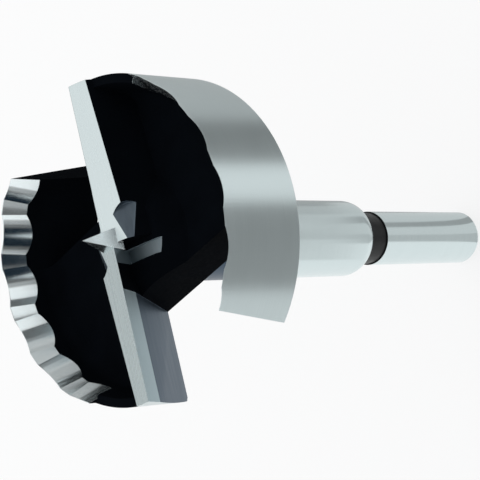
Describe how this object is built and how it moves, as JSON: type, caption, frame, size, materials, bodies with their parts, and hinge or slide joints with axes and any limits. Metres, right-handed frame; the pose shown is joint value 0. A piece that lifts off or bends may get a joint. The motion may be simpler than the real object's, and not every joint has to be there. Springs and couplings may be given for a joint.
{
  "type": "forstner bit",
  "caption": "One-piece Forstner drill bit with a wave-ground rim, raked cutting lips, open chip throats, a centre point and a plain round shank for a drill chuck.",
  "frame": {"origin": "centre of the shank's end face", "axes": "+Z along the axis from the shank's end to the centre point, +X along one cutting lip, whose edge faces +Y"},
  "size_m": [0.07, 0.07, 0.13],
  "materials": {
    "tool_steel": "satin ground outside, blackened inside the cup"
  },
  "bodies": {
    "root": {"forstner_bit": "tool_steel"}
  },
  "joints": []
}
